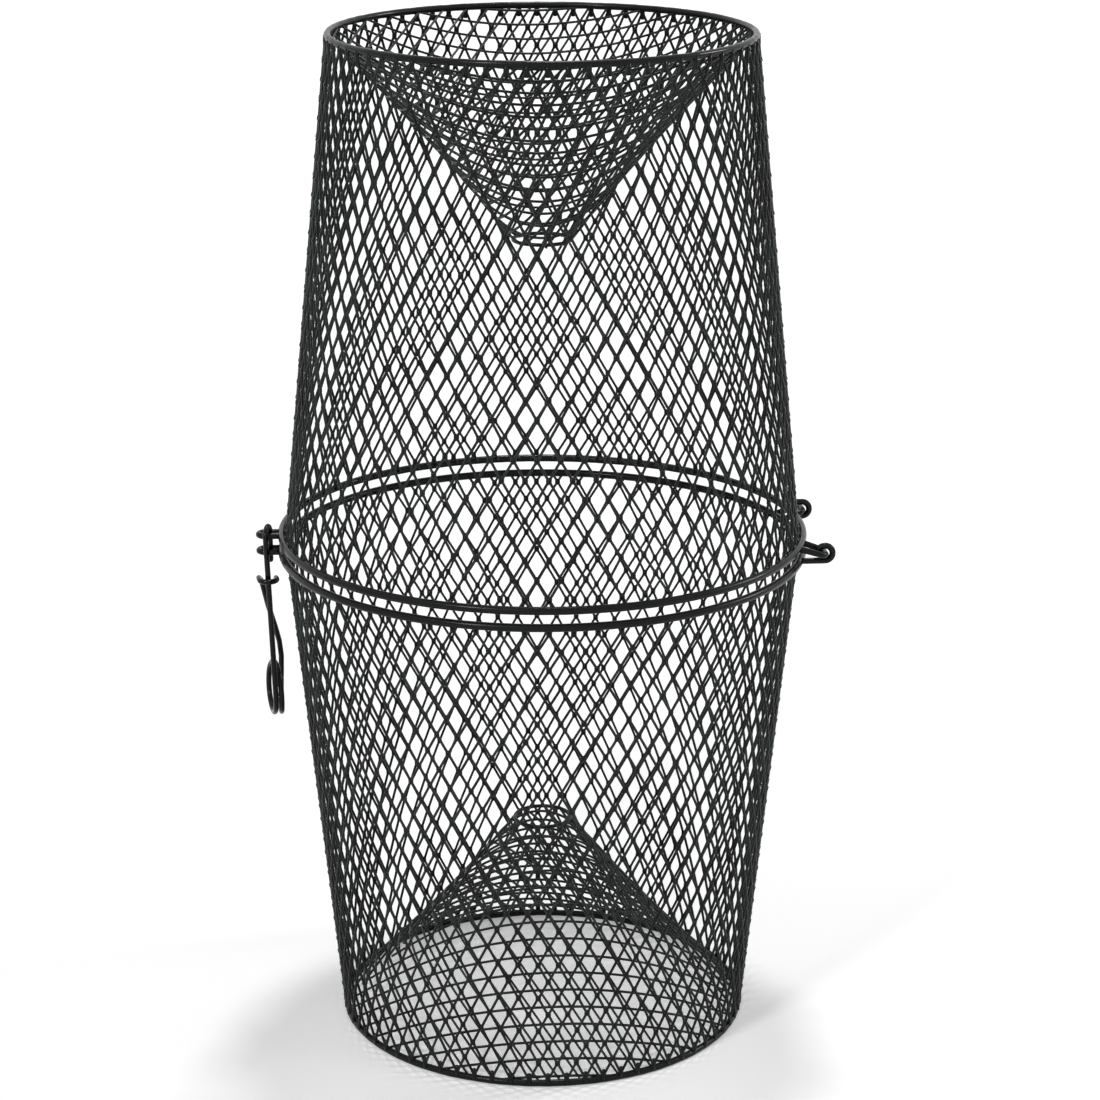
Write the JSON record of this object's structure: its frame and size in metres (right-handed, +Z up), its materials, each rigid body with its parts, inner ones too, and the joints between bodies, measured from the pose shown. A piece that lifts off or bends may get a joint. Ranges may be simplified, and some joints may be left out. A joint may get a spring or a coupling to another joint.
{
  "type": "minnow trap",
  "caption": "Upright wire-mesh minnow trap in tapered halves hinged at one side and clipped at the other, with a funnel entrance in either end.",
  "frame": {"origin": "centre of the lower end rim, on the surface that the trap stands on", "axes": "+Z up along the trap's length; +X towards the hinge; -Y is the viewed side"},
  "size_m": [0.248, 0.2286, 0.438],
  "materials": {
    "coated_mesh": "glossy dip coat",
    "coated_wire": "glossy dip coat",
    "spring_wire": "dark phosphate, smooth"
  },
  "bodies": {
    "lower_half": {"lower_mouth_hoop": "coated_wire", "lower_wall_mesh": "coated_mesh", "lower_end_rim": "coated_wire", "lower_funnel_mesh": "coated_mesh", "lower_throat_ring": "coated_wire", "lower_clip_ear": "coated_wire", "lower_hinge_tongue": "coated_wire", "lower_hinge_eye": "coated_wire"},
    "upper_half": {"upper_mouth_hoop": "coated_wire", "upper_wall_mesh": "coated_mesh", "upper_end_rim": "coated_wire", "upper_funnel_mesh": "coated_mesh", "upper_throat_ring": "coated_wire", "upper_clip_ear": "coated_wire", "upper_hinge_tongue": "coated_wire", "upper_hinge_eye": "coated_wire"},
    "clip": {"spring_clip": "spring_wire"}
  },
  "joints": [
    {"name": "halves_hinge", "type": "hinge", "parent": "lower_half", "child": "upper_half", "pos_m": [0.1185, 0, 0.219], "axis": [0, 1, 0], "range_deg": [0, 180], "deforming": ["spring_clip"]},
    {"name": "clip_swivel", "type": "hinge", "parent": "lower_half", "child": "clip", "pos_m": [-0.1177, 0, 0.219], "axis": [0, 0, 1], "range_deg": [-12, 15]}
  ]
}
